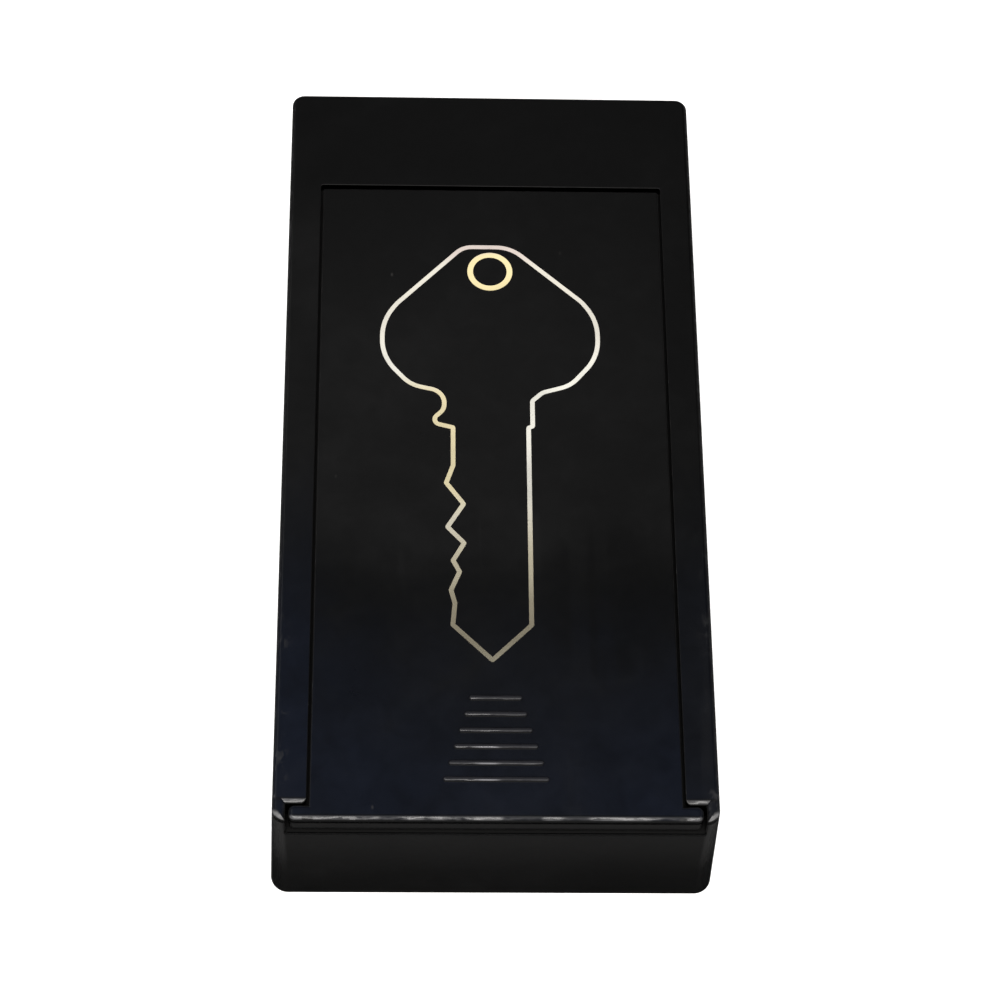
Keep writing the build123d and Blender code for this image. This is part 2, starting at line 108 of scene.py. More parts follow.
# ----------------------------------------------------------- material helpers
class Graph:
    """Small helper for building a node material."""

    def __init__(self, name):
        self.mat = bpy.data.materials.new(name)
        self.mat.use_nodes = True
        self.nt = self.mat.node_tree
        self.nt.nodes.clear()
        self.out = self.node("ShaderNodeOutputMaterial")
        self.bsdf = self.node("ShaderNodeBsdfPrincipled")
        self.link(self.bsdf.outputs["BSDF"], self.out.inputs["Surface"])
        self.coord = self.node("ShaderNodeTexCoord").outputs["Object"]

    def node(self, kind, **settings):
        n = self.nt.nodes.new(kind)
        for key, value in settings.items():
            setattr(n, key, value)
        return n

    def link(self, a, b):
        self.nt.links.new(a, b)

    def put(self, socket, value):
        if isinstance(value, (int, float)):
            socket.default_value = value
        elif isinstance(value, (tuple, list)):
            socket.default_value = value
        else:
            self.link(value, socket)

    def mapping(self, scale=(1, 1, 1), rotation=(0, 0, 0), location=(0, 0, 0)):
        m = self.node("ShaderNodeMapping")
        self.link(self.coord, m.inputs["Vector"])
        m.inputs["Scale"].default_value = scale
        m.inputs["Rotation"].default_value = rotation
        m.inputs["Location"].default_value = location
        return m.outputs["Vector"]

    def noise(self, scale, detail=2.0, rough=0.5, distortion=0.0, vector=None):
        n = self.node("ShaderNodeTexNoise")
        self.link(vector or self.coord, n.inputs["Vector"])
        n.inputs["Scale"].default_value = scale
        n.inputs["Detail"].default_value = detail
        n.inputs["Roughness"].default_value = rough
        n.inputs["Distortion"].default_value = distortion
        return n.outputs["Fac"]

    def voronoi(self, scale, feature="F1", output="Distance", vector=None, rand=1.0):
        n = self.node("ShaderNodeTexVoronoi", feature=feature)
        self.link(vector or self.coord, n.inputs["Vector"])
        n.inputs["Scale"].default_value = scale
        n.inputs["Randomness"].default_value = rand
        return n.outputs[output]

    def math(self, op, a, b=0.0, c=0.0, clamp=False):
        n = self.node("ShaderNodeMath", operation=op, use_clamp=clamp)
        self.put(n.inputs[0], a)
        self.put(n.inputs[1], b)
        if op in ("MULTIPLY_ADD", "SMOOTH_MIN", "SMOOTH_MAX", "COMPARE"):
            self.put(n.inputs[2], c)
        return n.outputs[0]

    def remap(self, value, low, high, to_low=0.0, to_high=1.0, smooth=True):
        n = self.node("ShaderNodeMapRange")
        if smooth:
            n.interpolation_type = "SMOOTHSTEP"
        self.put(n.inputs["Value"], value)
        n.inputs["From Min"].default_value = low
        n.inputs["From Max"].default_value = high
        n.inputs["To Min"].default_value = to_low
        n.inputs["To Max"].default_value = to_high
        return n.outputs["Result"]

    def mix(self, fac, a, b):
        n = self.node("ShaderNodeMix", data_type="RGBA")
        self.put(n.inputs["Factor"], fac)
        for socket, value in ((n.inputs[6], a), (n.inputs[7], b)):
            if isinstance(value, tuple):
                socket.default_value = (*value, 1.0) if len(value) == 3 else value
            else:
                self.link(value, socket)
        return n.outputs[2]

    def bump(self, height, strength, distance, normal=None):
        n = self.node("ShaderNodeBump")
        self.put(n.inputs["Height"], height)
        n.inputs["Strength"].default_value = strength
        n.inputs["Distance"].default_value = distance
        if normal is not None:
            self.link(normal, n.inputs["Normal"])
        return n.outputs["Normal"]

    def edge_mask(self, low=0.03, high=0.30):
        """1 on rounded edges, 0 on the flat faces of a squared-up moulding."""
        geo = self.node("ShaderNodeNewGeometry")
        sep = self.node("ShaderNodeSeparateXYZ")
        self.link(geo.outputs["Normal"], sep.inputs[0])
        ax = self.math("ABSOLUTE", sep.outputs[0])
        ay = self.math("ABSOLUTE", sep.outputs[1])
        az = self.math("ABSOLUTE", sep.outputs[2])
        biggest = self.math("MAXIMUM", self.math("MAXIMUM", ax, ay), az)
        off = self.math("SUBTRACT", 1.0, biggest)
        return self.remap(off, low * 0.5, high * 0.5)


def black_plastic(name, seed, lid):
    g = Graph(name)
    shift = (seed * 0.137, seed * 0.071, seed * 0.043)
    m = g.mapping(location=shift)
    edges = g.edge_mask()
    place = g.node("ShaderNodeSeparateXYZ")
    g.link(g.coord, place.inputs[0])
    px, py, pz = place.outputs
    side = g.math("ABSOLUTE", px)
    geo = g.node("ShaderNodeNewGeometry")
    facing = g.node("ShaderNodeSeparateXYZ")
    g.link(geo.outputs["Normal"], facing.inputs[0])
    nx, ny, nz = facing.outputs
    upright = g.remap(g.math("ABSOLUTE", nz), 0.30, 0.08)
    facing_up = g.remap(nz, 0.30, 0.80)

    def both(*masks):
        total = masks[0]
        for mask in masks[1:]:
            total = g.math("MULTIPLY", total, mask)
        return total

    # slow variation, like handling marks and the flow of the moulding
    cloud = g.noise(38.0, 3.0, 0.55, 0.3, vector=m)
    cloud2 = g.noise(130.0, 3.0, 0.6, 0.4, vector=m)
    smudge = g.noise(340.0, 4.0, 0.6, 0.8, vector=m)
    # wipe marks along the box, where a cloth or a pocket has rubbed
    wipe = g.noise(
        430.0, 3.0, 0.6, 0.1,
        vector=g.mapping(scale=(1.0, 0.06, 1.0), rotation=(0, 0, 0.07), location=shift),
    )
    wipe = both(
        g.remap(wipe, 0.52, 0.70), g.remap(cloud, 0.46, 0.66), g.remap(py, 0.006, -0.008)
    )
    # hairline scratches in two directions
    s1 = g.noise(
        800.0, 2.0, 0.5, 0.35,
        vector=g.mapping(scale=(1.0, 0.05, 1.0), rotation=(0, 0, 0.45), location=shift),
    )
    s2 = g.noise(
        1000.0, 2.0, 0.5, 0.35,
        vector=g.mapping(scale=(0.06, 1.0, 1.0), rotation=(0, 0, -0.3), location=shift),
    )
    scratch = g.math(
        "ADD", g.remap(s1, 0.735, 0.80), g.remap(s2, 0.745, 0.81), clamp=True
    )
    scratch = both(scratch, g.remap(cloud, 0.50, 0.68))
    # rubbed specks along the outer sides, towards the front
    rub = g.noise(
        1150.0, 4.0, 0.7, 0.5,
        vector=g.mapping(scale=(1.0, 0.6, 1.0), location=shift),
    )
    rub = both(
        g.remap(side, 0.0230, 0.0246),
        g.remap(py, -0.006, -0.042),
        g.remap(nz, 0.10, 0.35),
        g.remap(cloud2, 0.46, 0.60),
        g.remap(rub, 0.52, 0.66),
    )
    # a few specks of dust
    dusty = g.mapping(scale=(1.0, 0.55, 1.0), rotation=(0, 0, 0.5), location=shift)
    pick = g.node("ShaderNodeTexVoronoi", feature="F1")
    g.link(dusty, pick.inputs["Vector"])
    pick.inputs["Scale"].default_value = 520.0
    sep = g.node("ShaderNodeSeparateColor")
    g.link(pick.outputs["Color"], sep.inputs[0])
    chosen = g.remap(sep.outputs[0], 0.962, 0.99)
    dust = both(g.remap(pick.outputs["Distance"], 0.11, 0.02), chosen)

    # how pale the black is, from place to place: a painted sheen where the top would mirror more
    # light, with random tone on top
    if lid:
        # painted sheen, palest in the middle and more to the left as if lit from that side; a
        # painted darker band below it
        pale = both(g.remap(py, 0.038, 0.006), g.remap(py, -0.0225, -0.0100))
        pale = both(pale, g.remap(px, -0.006, 0.018, 1.0, 0.62))
        level = g.math("MULTIPLY_ADD", pale, 0.0015, 0.0009)
        sheen_dip = both(
            g.remap(py, -0.0155, -0.0215), g.remap(py, -0.031, -0.024),
            g.remap(side, 0.004, 0.014, 0.45, 1.0),
        )
        level = both(level, g.math("MULTIPLY_ADD", sheen_dip, -0.70, 1.0))
    else:
        # painted light: the left rail paler, as if lit from the left
        pale = both(
            g.remap(px, -0.0205, -0.0215),
            g.remap(py, -0.017, -0.006),
            g.remap(py, 0.036, 0.028),
        )
        level = g.math("MULTIPLY_ADD", pale, 0.0012, 0.0007)
        # painted shade: the header behind the lid darker
        level = both(level, g.remap(py, 0.0385, 0.0340, 0.65, 1.0))
    tone = g.math("MULTIPLY_ADD", g.math("SUBTRACT", cloud, 0.5), 1.1, 0.45)
    tone = g.math("MULTIPLY_ADD", g.math("SUBTRACT", cloud2, 0.5), 0.9, tone)
    tone = g.math(
        "MULTIPLY_ADD", g.math("SUBTRACT", smudge, 0.5), 1.0, tone, clamp=True
    )
    level = both(level, g.math("MULTIPLY_ADD", tone, 0.75, 0.68))
    # dark streaks wiped clean on the right, half-way down
    streak = g.noise(
        360.0, 2.0, 0.5, 0.1,
        vector=g.mapping(scale=(1.0, 0.05, 1.0), rotation=(0, 0, 0.03), location=shift),
    )
    off_x = g.math("DIVIDE", g.math("SUBTRACT", px, 0.0135), 0.0085)
    off_y = g.math("DIVIDE", g.math("ADD", py, 0.0225), 0.0110)
    off = g.math("ADD", g.math("MULTIPLY", off_x, off_x), g.math("MULTIPLY", off_y, off_y))
    streak = both(g.remap(streak, 0.42, 0.56), g.remap(off, 1.3, 0.4))
    level = both(level, g.math("MULTIPLY_ADD", streak, -0.5, 1.0))
    colour = g.mix(g.math("MULTIPLY", level, 100.0), (0, 0, 0), (0.01, 0.01, 0.0101))
    # painted reflection: a cool, uneven bluish sheen towards the front, as of a blue light mirrored
    # in the top
    blue_sheen_reach = g.math("MULTIPLY_ADD", g.math("SUBTRACT", cloud2, 0.5), 0.024, py)
    blue_sheen_reach = g.math("MULTIPLY_ADD", g.math("SUBTRACT", cloud, 0.5), 0.028, blue_sheen_reach)
    if lid:
        blue_sheen_reach = g.remap(blue_sheen_reach, -0.016, -0.060)
    else:
        blue_sheen_reach = both(
            g.remap(blue_sheen_reach, 0.003, -0.056), g.remap(px, -0.010, 0.020, 1.15, 0.55)
        )
    painted_blue_sheen = both(
        blue_sheen_reach,
        facing_up,
        g.remap(cloud2, 0.30, 0.66, 0.68, 1.18),
        g.remap(smudge, 0.25, 0.70, 0.84, 1.10),
        g.math("MULTIPLY_ADD", streak, -0.5, 1.0),
    )
    colour = g.mix(painted_blue_sheen, colour, (0.00145, 0.00240, 0.00560))
    colour = g.mix(g.math("MULTIPLY", wipe, 0.12), colour, (0.006, 0.006, 0.0063))
    colour = g.mix(g.math("MULTIPLY", scratch, 0.22), colour, (0.018, 0.018, 0.0186))
    colour = g.mix(g.math("MULTIPLY", rub, 0.60), colour, (0.022, 0.022, 0.0225))
    colour = g.mix(g.math("MULTIPLY", dust, 0.30), colour, (0.040, 0.039, 0.038))
    colour = g.mix(g.math("MULTIPLY", edges, 0.25), colour, (0.010, 0.010, 0.0105))
    # painted light: upright walls made paler, more so towards the top as a painted sheen
    high_up = g.remap(pz, 0.003, 0.017)
    colour = g.mix(g.math("MULTIPLY", upright, 0.6), colour, (0.0032, 0.0032, 0.0032))
    colour = g.mix(both(upright, high_up), colour, (0.0056, 0.0056, 0.0056))
    if lid:
        # painted sheen: a paler band across the middle of the lid's front lip
        painted_lip_sheen = g.remap(g.math("ABSOLUTE", g.math("SUBTRACT", pz, 0.0191)), 0.0008, 0.0002)
        colour = g.mix(
            both(upright, g.math("MULTIPLY", painted_lip_sheen, 0.35)), colour, (0.0088, 0.0088, 0.0088)
        )
    # painted light: the corner posts' upright faces made paler, as if catching light
    painted_post_lift = both(upright, g.remap(side, 0.0234, 0.0240), g.remap(pz, 0.006, 0.0165))
    colour = g.mix(painted_post_lift, colour, (0.0130, 0.0130, 0.0131))
    # painted light: walls facing away from the front made paler, more towards the top
    away = both(upright, g.remap(ny, -0.45, -0.10))
    colour = g.mix(both(away, g.remap(pz, 0.0, 0.018, 0.65, 1.0)), colour, (0.0125, 0.0125, 0.0128))
    # painted highlight: the front edges made bright in long stretches, partly edge wear and partly
    # a painted glint of the lamp
    ahead = both(
        g.remap(ny, -0.10, -0.40), g.remap(py, -0.026, -0.038), g.remap(nz, 0.44, 0.64)
    )
    edge_wear_and_glint = g.noise(
        270.0, 1.5, 0.5, 0.2, vector=g.mapping(scale=(1.0, 1.0, 1.0), location=shift)
    )
    if lid:
        # brightest at the left end and right of the middle, least in between
        edge_wear_and_glint = g.math("ADD", edge_wear_and_glint, g.remap(px, -0.0125, -0.0160, 0.0, 0.20))
    else:
        edge_wear_and_glint = g.math("ADD", edge_wear_and_glint, g.remap(px, -0.0125, -0.0160, 0.0, 0.24))
    edge_wear_and_glint = g.math("ADD", edge_wear_and_glint, g.remap(
        g.math("ABSOLUTE", g.math("SUBTRACT", px, 0.0137)), 0.0024, 0.0012, 0.0, 0.20
    ))
    edge_wear_and_glint = g.math("ADD", edge_wear_and_glint, g.remap(
        g.math("ABSOLUTE", g.math("ADD", px, 0.0046)), 0.0030, 0.0012, 0.0, 0.10
    ))
    edge_wear_and_glint = g.math("ADD", edge_wear_and_glint, g.remap(
        g.math("ABSOLUTE", g.math("SUBTRACT", px, 0.0029)), 0.0030, 0.0014, 0.0, -0.16
    ))
    dull = both(g.remap(edge_wear_and_glint, 0.58, 0.42), ahead)
    # the ridges on the lid get less of the painted edge highlight, but a painted glint in their
    # middle where a thumb pulls
    thumb_glint = both(
        g.remap(g.math("ABSOLUTE", g.math("ADD", px, 0.0010)), 0.0018, 0.0005),
        g.remap(py, -0.0400, -0.0408),
    )
    keep = g.math("MAXIMUM", g.remap(py, -0.0462, -0.0470, 0.16, 1.0), thumb_glint)
    edge_wear_and_glint = both(g.math("MAXIMUM", g.remap(edge_wear_and_glint, 0.45, 0.66), thumb_glint), ahead, keep)
    colour = g.mix(g.math("MULTIPLY", edge_wear_and_glint, 0.9), colour, (0.062, 0.062, 0.064))
    if lid:
        # painted highlight: the ridge tops made paler
        painted_crest_highlight = both(g.remap(pz, 0.02080, 0.02095), g.remap(nz, 0.2, 0.5))
        colour = g.mix(g.math("MULTIPLY", painted_crest_highlight, 0.8), colour, (0.0105, 0.0105, 0.0125))
    # the two rims along the gap catch a little light
    rims = both(
        edges,
        g.math("GREATER_THAN", pz, 0.0202),
        g.math("MAXIMUM", g.math("COMPARE", side, 0.02107, 0.00060),
               g.math("COMPARE", py, 0.03568, 0.00085)),
        g.math("LESS_THAN", side, 0.0218),
    )
    colour = g.mix(g.math("MULTIPLY", rims, 0.8), colour, (0.0038, 0.0038, 0.0038))
    # painted highlight: bright glints on the middle of the ridges
    colour = g.mix(
        both(thumb_glint, ahead, g.math("GREATER_THAN", pz, 0.0207)), colour, (0.085, 0.085, 0.092)
    )
    # painted highlight: the top front corners of the posts made bright
    painted_post_highlight = both(
        g.remap(side, 0.0234, 0.0237),
        g.remap(side, 0.0256, 0.0253),
        g.remap(py, -0.0476, -0.0482),
        g.remap(ny, -0.10, -0.32),
        g.remap(nz, 0.28, 0.50),
    )
    colour = g.mix(g.math("MULTIPLY", painted_post_highlight, 0.9), colour, (0.095, 0.095, 0.097))
    # painted shade: the narrow gaps round the lid and the slit under its front lip painted black,
    # as if nothing came back out of them
    steep = g.remap(g.math("ABSOLUTE", nz), 0.62, 0.42)
    above = g.math("GREATER_THAN", pz, 0.0145)
    painted_gap_shade = both(
        steep, above,
        g.math("COMPARE", side, 0.02107, 0.00040),
        g.math("COMPARE", py, -0.00595, 0.0425),
    )
    painted_gap_shade = g.math("ADD", painted_gap_shade, both(
        steep, above,
        g.math("COMPARE", py, 0.03568, 0.00048),
        g.math("LESS_THAN", side, 0.0216),
    ))
    painted_gap_shade = g.math("ADD", painted_gap_shade, both(
        steep, above,
        g.math("COMPARE", py, -0.04795, 0.00025),
        g.math("COMPARE", side, 0.0222, 0.0018),
        g.remap(g.math("ABSOLUTE", ny), 0.3, 0.6),
    ))
    painted_gap_shade = g.math("ADD", painted_gap_shade, both(
        steep, above,
        g.math("COMPARE", side, 0.02338, 0.00034),
        g.math("LESS_THAN", py, -0.0479),
        g.remap(g.math("ABSOLUTE", nx), 0.5, 0.8),
    ))
    # painted shade: the header's front edge darkened
    painted_header_edge_shade = both(
        g.remap(ny, -0.05, -0.25),
        g.math("COMPARE", py, 0.03600, 0.00022),
        g.math("LESS_THAN", side, 0.0216),
    )
    if lid:
        low = both(g.math("LESS_THAN", pz, 0.0199), g.math("GREATER_THAN", py, -0.0485))
        rim = g.math(
            "MAXIMUM",
            g.math("GREATER_THAN", side, 0.0206), g.math("GREATER_THAN", py, 0.0350),
        )
        painted_gap_shade = g.math("ADD", painted_gap_shade, both(low, rim, above))
        lip = both(
            g.remap(ny, -0.60, -0.90), g.math("LESS_THAN", py, -0.0488)
        )
        foot = g.remap(pz, 0.0187, 0.0181, 0.0, 0.55)
        under = both(
            g.remap(nz, -0.08, -0.30),
            g.math("LESS_THAN", pz, 0.0186), g.math("LESS_THAN", py, -0.0478),
        )
        painted_gap_shade = g.math("ADD", painted_gap_shade, g.math("MAXIMUM", both(lip, foot), under))
    else:
        shelf = both(
            g.math("COMPARE", pz, 0.0174, 0.00025),
            g.math("LESS_THAN", py, -0.0470),
            g.math("LESS_THAN", side, 0.0237),
        )
        below = both(
            g.remap(pz, 0.0162, 0.0171, 0.0, 0.5),
            g.math("LESS_THAN", py, -0.0490),
            g.remap(side, 0.0240, 0.0236),
        )
        painted_gap_shade = g.math("ADD", painted_gap_shade, g.math("MAXIMUM", shelf, below))
    # painted shade: a black band right under the bright front edges
    painted_brow_shade = both(
        g.remap(ny, -0.45, -0.65),
        g.remap(nz, 0.60, 0.45),
        g.remap(pz, 0.01945, 0.01985),
        g.remap(py, -0.0470, -0.0476),
    )
    painted_gap_shade = g.math("MAXIMUM", g.math("MINIMUM", painted_gap_shade, 1.0), g.math("MULTIPLY", painted_brow_shade, 0.85))
    # painted shade: a black line on the top just behind the front edges
    painted_brim_shade = both(
        g.remap(nz, 0.90, 0.97),
        g.math("MAXIMUM", g.math("COMPARE", py, -0.04945, 0.00020),
               both(g.math("COMPARE", py, -0.04740, 0.00020), g.remap(side, 0.0210, 0.0212))),
    )
    colour = g.mix(g.math("MULTIPLY", painted_brim_shade, 0.62), colour, (0.0, 0.0, 0.0))
    colour = g.mix(g.math("MULTIPLY", painted_header_edge_shade, 0.75), colour, (0.0, 0.0, 0.0))
    colour = g.mix(painted_gap_shade, colour, (0.0, 0.0, 0.0))
    g.link(colour, g.bsdf.inputs["Base Color"])
    # roughness: satin faces, polished edges
    rough = g.remap(cloud, 0.25, 0.75, 0.31, 0.38)
    rough = g.math("MULTIPLY_ADD", g.math("SUBTRACT", cloud2, 0.5), 0.16, rough)
    rough = g.math("MULTIPLY_ADD", g.math("SUBTRACT", smudge, 0.5), 0.14, rough)
    rough = g.math("MULTIPLY_ADD", wipe, 0.05, rough)
    rough = g.math("MULTIPLY_ADD", edges, -0.15, rough)
    rough = g.math("MULTIPLY_ADD", scratch, -0.06, rough)
    rough = g.math("MULTIPLY_ADD", dull, 0.36, rough)
    rough = g.math("MULTIPLY_ADD", painted_header_edge_shade, 0.52, rough, clamp=True)
    tight = g.math("MULTIPLY_ADD", painted_gap_shade, -1.0, 1.0)
    # upright gap walls mirror other dark walls; gap floors must not mirror a lamp
    flat = g.remap(g.math("ABSOLUTE", nz), 0.12, 0.30, 0.07, 1.0)
    rough = g.math("MULTIPLY_ADD", rough, tight, g.math("MULTIPLY", painted_gap_shade, flat))
    g.link(rough, g.bsdf.inputs["Roughness"])
    g.bsdf.inputs["Specular IOR Level"].default_value = 0.20
    # relief: walls bowed a little, spark-eroded grain, a faint waviness,
    # uneven edges, the scratches
    depth = g.math("MULTIPLY_ADD", pz, -1.0 / 0.0207, 1.0)
    bow = g.math("MULTIPLY", g.math("MULTIPLY", depth, depth), -1.0)
    grain = g.noise(9000.0, 2.0, 0.55, vector=m)
    wave = g.noise(190.0, 2.0, 0.5, vector=m)
    n = g.bump(bow, 1.0, 0.0010)
    n = g.bump(grain, 0.10, 0.00003, n)
    n = g.bump(wave, 0.16, 0.00025, n)
    bead = g.noise(
        430.0, 2.0, 0.5, 0.2, vector=g.mapping(scale=(0.8, 1.0, 1.0), location=shift)
    )
    bead = both(g.math("SUBTRACT", bead, 0.5), edges, g.remap(nz, 0.10, 0.35))
    n = g.bump(bead, 1.0, 0.00075, n)
    n = g.bump(scratch, 0.25, 0.00001, n)
    g.link(n, g.bsdf.inputs["Normal"])
    return g.mat


def gold_foil(name):
    g = Graph(name)
    cloud = g.noise(160.0, 3.0, 0.6)
    fine = g.noise(5200.0, 3.0, 0.6)
    place = g.node("ShaderNodeSeparateXYZ")
    g.link(g.coord, place.inputs[0])
    px, py, pz = place.outputs
    # creamy on the bow, a stronger gold on the ring and down the blade
    up_there = g.math("SUBTRACT", py, 0.0219)
    away = g.math(
        "SQRT",
        g.math("ADD", g.math("MULTIPLY", px, px), g.math("MULTIPLY", up_there, up_there)),
    )
    near_ring = g.remap(away, 0.0045, 0.0036)
    down = g.remap(py, -0.006, -0.018)
    # a darker band across the blade
    darker_band = g.math(
        "MULTIPLY", g.remap(py, -0.0190, -0.0228), g.remap(py, -0.0300, -0.0275)
    )
    shoulder = g.math(
        "MULTIPLY",
        g.remap(px, -0.0016, -0.0036),
        g.math("MULTIPLY", g.remap(py, 0.0090, 0.0050), g.remap(py, -0.0130, -0.0070)),
    )
    crown = g.remap(py, 0.0235, 0.0262)
    colour = g.mix(g.remap(cloud, 0.3, 0.7), (0.82, 0.775, 0.67), (0.90, 0.86, 0.76))
    waist = g.math(
        "MULTIPLY", g.remap(py, 0.0160, 0.0080), g.remap(py, -0.0190, -0.0120)
    )
    colour = g.mix(g.math("MULTIPLY", waist, 0.85), colour, (0.97, 0.95, 0.86))
    colour = g.mix(crown, colour, (0.76, 0.66, 0.60))
    colour = g.mix(down, colour, (0.98, 0.89, 0.66))
    colour = g.mix(g.math("MULTIPLY", shoulder, 0.8), colour, (0.87, 0.74, 0.41))
    colour = g.mix(g.math("MULTIPLY", darker_band, 0.9), colour, (0.73, 0.65, 0.47))
    colour = g.mix(near_ring, colour, (0.96, 0.82, 0.46))
    pits = g.remap(g.noise(3600.0, 1.0, 0.5), 0.74, 0.80)
    colour = g.mix(g.math("MULTIPLY", pits, 0.55), colour, (0.10, 0.08, 0.05))
    g.link(colour, g.bsdf.inputs["Base Color"])
    g.bsdf.inputs["Metallic"].default_value = 1.0
    g.link(g.remap(cloud, 0.3, 0.7, 0.12, 0.16), g.bsdf.inputs["Roughness"])
    g.link(g.bump(fine, 0.06, 0.00001), g.bsdf.inputs["Normal"])
    return g.mat


def ferrite(name):
    g = Graph(name)
    cloud = g.noise(90.0, 4.0, 0.6)
    fine = g.noise(2600.0, 4.0, 0.65)
    grind = g.noise(
        1500.0, 2.0, 0.5, vector=g.mapping(scale=(0.03, 1.0, 1.0), rotation=(0, 0, 0.08))
    )
    edges = g.edge_mask(0.05, 0.35)
    colour = g.mix(g.remap(cloud, 0.3, 0.7), (0.030, 0.031, 0.033), (0.052, 0.053, 0.056))
    chips = g.math("MULTIPLY", edges, g.remap(g.noise(420.0, 3.0, 0.6), 0.52, 0.62))
    colour = g.mix(chips, colour, (0.095, 0.092, 0.090))
    rust = g.remap(g.noise(60.0, 5.0, 0.7), 0.66, 0.80)
    colour = g.mix(g.math("MULTIPLY", rust, 0.35), colour, (0.07, 0.045, 0.03))
    g.link(colour, g.bsdf.inputs["Base Color"])
    rough = g.remap(grind, 0.35, 0.65, 0.48, 0.66)
    g.link(rough, g.bsdf.inputs["Roughness"])
    n = g.bump(fine, 0.35, 0.00006)
    n = g.bump(grind, 0.22, 0.00003, n)
    n = g.bump(g.math("MULTIPLY", chips, -1.0), 0.5, 0.0002, n)
    g.link(n, g.bsdf.inputs["Normal"])
    return g.mat


def zinc_steel(name):
    g = Graph(name)
    cloud = g.noise(120.0, 4.0, 0.6)
    spangle = g.voronoi(260.0, output="Color")
    sep = g.node("ShaderNodeSeparateColor")
    g.link(spangle, sep.inputs[0])
    tone = g.math("MULTIPLY_ADD", sep.outputs[0], 0.4, g.math("MULTIPLY", cloud, 0.6))
    colour = g.mix(tone, (0.42, 0.43, 0.45), (0.62, 0.63, 0.65))
    g.link(colour, g.bsdf.inputs["Base Color"])
    g.bsdf.inputs["Metallic"].default_value = 1.0
    g.link(g.remap(tone, 0.2, 0.8, 0.28, 0.44), g.bsdf.inputs["Roughness"])
    g.link(g.bump(g.noise(3000.0, 3.0), 0.15, 0.00003), g.bsdf.inputs["Normal"])
    return g.mat


def foam(name, dark, light, cell=1500.0):
    g = Graph(name)
    cloud = g.noise(70.0, 4.0, 0.6)
    pores = g.voronoi(cell, output="Distance")
    open_cell = g.remap(pores, 0.42, 0.12)
    colour = g.mix(g.remap(cloud, 0.3, 0.7), dark, light)
    colour = g.mix(
        g.math("MULTIPLY", open_cell, 0.55), colour, tuple(c * 0.35 for c in dark)
    )
    g.link(colour, g.bsdf.inputs["Base Color"])
    g.link(g.remap(cloud, 0.3, 0.7, 0.86, 0.96), g.bsdf.inputs["Roughness"])
    g.bsdf.inputs["Specular IOR Level"].default_value = 0.25
    g.bsdf.inputs["Sheen Weight"].default_value = 0.12
    g.bsdf.inputs["Sheen Roughness"].default_value = 0.5
    n = g.bump(g.math("MULTIPLY", open_cell, -1.0), 0.6, 0.00022)
    n = g.bump(g.noise(420.0, 3.0), 0.25, 0.0004, n)
    g.link(n, g.bsdf.inputs["Normal"])
    return g.mat


case_mat = black_plastic("black_case_plastic", 1.0, lid=False)
lid_mat = black_plastic("black_lid_plastic", 7.0, lid=True)
foil_mat = gold_foil("gold_hot_stamp_foil")
ferrite_mat = ferrite("sintered_ferrite")
steel_mat = zinc_steel("zinc_plated_steel")
liner_mat = foam("charcoal_foam", (0.0095, 0.0095, 0.0105), (0.0175, 0.0175, 0.0190))
tape_mat = foam("white_foam_tape", (0.55, 0.54, 0.50), (0.66, 0.65, 0.61), 2600.0)


def finish_with(node, mat):
    data = nodes[node].data
    data.materials.clear()
    data.materials.append(mat)


finish_with("case_body", case_mat)
finish_with("sliding_lid", lid_mat)
finish_with("key_outline_foil", foil_mat)
finish_with("magnet_front", ferrite_mat)
finish_with("magnet_rear", ferrite_mat)
finish_with("backing_plate_front", steel_mat)
finish_with("backing_plate_rear", steel_mat)


